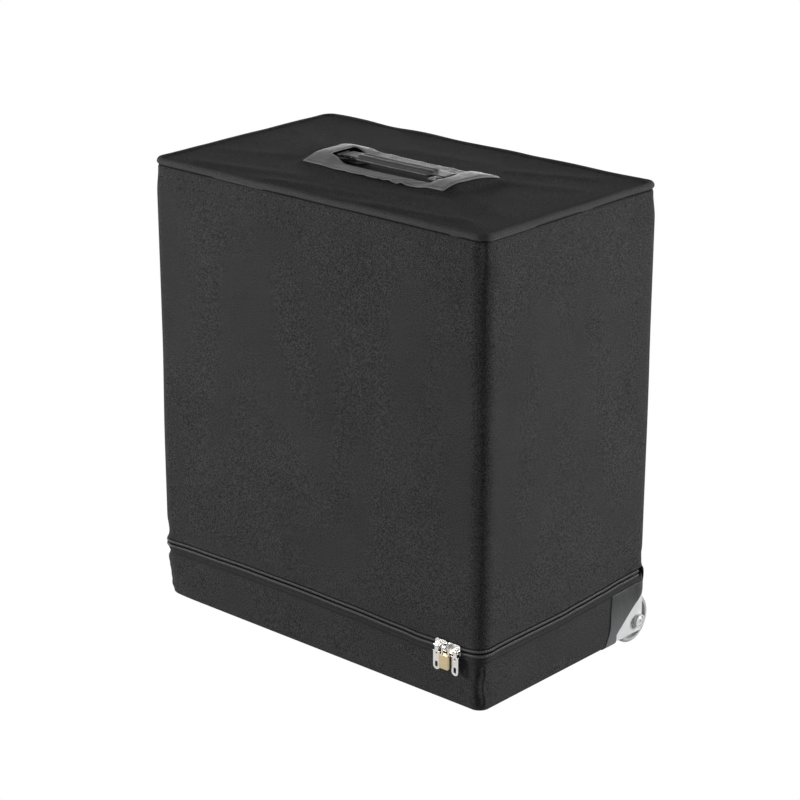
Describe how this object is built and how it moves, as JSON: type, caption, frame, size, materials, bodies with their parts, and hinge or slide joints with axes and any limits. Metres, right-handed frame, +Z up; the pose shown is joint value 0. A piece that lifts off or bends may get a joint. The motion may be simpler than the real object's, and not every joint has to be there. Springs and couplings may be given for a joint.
{
  "type": "accordion case",
  "caption": "Upright wheeled accordion case: plywood tray and tall rear-hinged hood in a zipped fabric cover, with top strap handle, corner wheels and pull-up handle.",
  "frame": {"origin": "on the floor, below the middle of the whole object's box: the case stands on its two front feet and two rear wheels", "axes": "+Z up, -Y the front with the padlock, +Y the rear with the hinge, wheels and pull-up handle, +X to the right seen from the front"},
  "size_m": [0.502, 0.3244, 0.5641],
  "materials": {
    "plywood": "bare birch plywood, sanded",
    "lining": "dark grey short plush",
    "cover": "black woven nylon, matt",
    "zip": "black coil zip on woven tape",
    "leatherette": "smooth grey-black leatherette, satin",
    "housing": "light grey moulded plastic",
    "tyre": "translucent grey polyurethane",
    "steel": "zinc-plated steel",
    "chrome": "nickel-plated, bright",
    "ring": "black enamelled steel",
    "grip": "black leatherette over a soft core, ribbed",
    "foot": "black moulded rubber",
    "pole": "satin anodised",
    "moulding": "black moulded plastic",
    "button": "grey plastic",
    "brass": "brushed brass"
  },
  "bodies": {
    "base": {"base_floor": "plywood", "base_front_rail": "plywood", "base_rear_rail": "plywood", "base_left_rail": "plywood", "base_right_rail": "plywood", "base_liner": "lining", "base_pad": "lining", "base_cover": "cover", "zip_lower": "zip", "wheel_patch_left": "leatherette", "wheel_patch_right": "leatherette", "wheel_housing_left": "housing", "wheel_housing_right": "housing", "axle_bolt_left": "chrome", "axle_bolt_right": "chrome", "axle_nuts": "steel", "front_feet": "foot", "foot_screws": "steel", "hinge_base_leaf": "steel", "hinge_pin": "steel"},
    "hood": {"hood_front_panel": "plywood", "hood_rear_panel": "plywood", "hood_left_panel": "plywood", "hood_right_panel": "plywood", "hood_top_panel": "plywood", "hood_padding": "lining", "hood_cover": "cover", "zip_upper": "zip", "slot_frame": "leatherette", "hinge_hood_leaf": "steel", "handle_chape_left": "ring", "handle_chape_right": "ring", "handle_bolts": "steel", "handle_backing_plate": "steel", "pole_outer_tubes": "pole", "pole_foot_bracket": "moulding", "pole_collar": "moulding", "pole_screws": "steel"},
    "wheel_left": {"wheel_core_left": "housing", "wheel_tyre_left": "tyre", "wheel_bearings_left": "steel"},
    "wheel_right": {"wheel_core_right": "housing", "wheel_tyre_right": "tyre", "wheel_bearings_right": "steel"},
    "grip": {"handle_grip": "grip"},
    "ring_left": {"handle_ring_left": "ring"},
    "ring_right": {"handle_ring_right": "ring"},
    "pole_middle": {"pole_middle_tubes": "pole"},
    "pole_top": {"pole_inner_tubes": "pole", "pole_grip": "moulding"},
    "button": {"pole_button": "button"},
    "slider_left": {"zip_slider_left": "chrome"},
    "slider_right": {"zip_slider_right": "chrome"},
    "pull_left": {"zip_pull_left": "chrome"},
    "pull_right": {"zip_pull_right": "chrome"},
    "shackle": {"padlock_shackle": "chrome"},
    "lock": {"padlock_body": "brass"},
    "key_plug": {"padlock_key_plug": "brass"}
  },
  "joints": [
    {"name": "hood_hinge", "type": "hinge", "parent": "base", "child": "hood", "pos_m": [0, 0.14325, 0.0825], "axis": [-1, 0, 0], "range_deg": [0, 95]},
    {"name": "wheel_left_axle", "type": "hinge", "parent": "base", "child": "wheel_left", "pos_m": [-0.228, 0.13275, 0.0295], "axis": [1, 0, 0], "continuous": true},
    {"name": "wheel_right_axle", "type": "hinge", "parent": "base", "child": "wheel_right", "pos_m": [0.228, 0.13275, 0.0295], "axis": [1, 0, 0], "continuous": true},
    {"name": "grip_lift", "type": "slide", "parent": "hood", "child": "grip", "axis": [0, 0, 1], "range_m": [0, 0.01]},
    {"name": "ring_left_pivot", "type": "hinge", "parent": "hood", "child": "ring_left", "pos_m": [-0.085, -0.00725, 0.5571], "axis": [0, -1, 0], "range_deg": [0, 41]},
    {"name": "ring_right_pivot", "type": "hinge", "parent": "hood", "child": "ring_right", "pos_m": [0.085, -0.00725, 0.5571], "axis": [0, 1, 0], "range_deg": [0, 41]},
    {"name": "pole_middle_slide", "type": "slide", "parent": "hood", "child": "pole_middle", "axis": [0, 0, 1], "range_m": [0, 0.28]},
    {"name": "pole_top_slide", "type": "slide", "parent": "pole_middle", "child": "pole_top", "axis": [0, 0, 1], "range_m": [0, 0.28]},
    {"name": "button_press", "type": "slide", "parent": "pole_top", "child": "button", "axis": [0, 0, -1], "range_m": [0, 0.003], "stiffness_N_per_m": 400, "springref_m": -0.002},
    {"name": "slider_left_run", "type": "slide", "parent": "base", "child": "slider_left", "axis": [-1, 0, 0], "range_m": [0, 0.4]},
    {"name": "slider_right_run", "type": "slide", "parent": "base", "child": "slider_right", "axis": [-1, 0, 0], "range_m": [0, 0.4]},
    {"name": "pull_left_swing", "type": "hinge", "parent": "slider_left", "child": "pull_left", "pos_m": [0.1885, -0.1573, 0.0825], "axis": [-1, 0, 0], "range_deg": [0, 150]},
    {"name": "pull_right_swing", "type": "hinge", "parent": "slider_right", "child": "pull_right", "pos_m": [0.2185, -0.1573, 0.0825], "axis": [-1, 0, 0], "range_deg": [0, 150]},
    {"name": "shackle_swing", "type": "hinge", "parent": "slider_left", "child": "shackle", "pos_m": [0.2035, -0.1585, 0.084], "axis": [-1, 0, 0], "range_deg": [0, 80]},
    {"name": "lock_release", "type": "slide", "parent": "shackle", "child": "lock", "axis": [0, 0, -1], "range_m": [0, 0.0045]},
    {"name": "key_turn", "type": "hinge", "parent": "lock", "child": "key_plug", "pos_m": [0.2035, -0.1585, 0.059], "axis": [0, 0, 1], "range_deg": [0, 90]}
  ],
  "couplings": [
    {"joint": "ring_left_pivot", "follows": "grip_lift", "rad_per_m": 70},
    {"joint": "ring_right_pivot", "follows": "grip_lift", "rad_per_m": 70},
    {"joint": "slider_right_run", "follows": "slider_left_run", "ratio": 1}
  ]
}
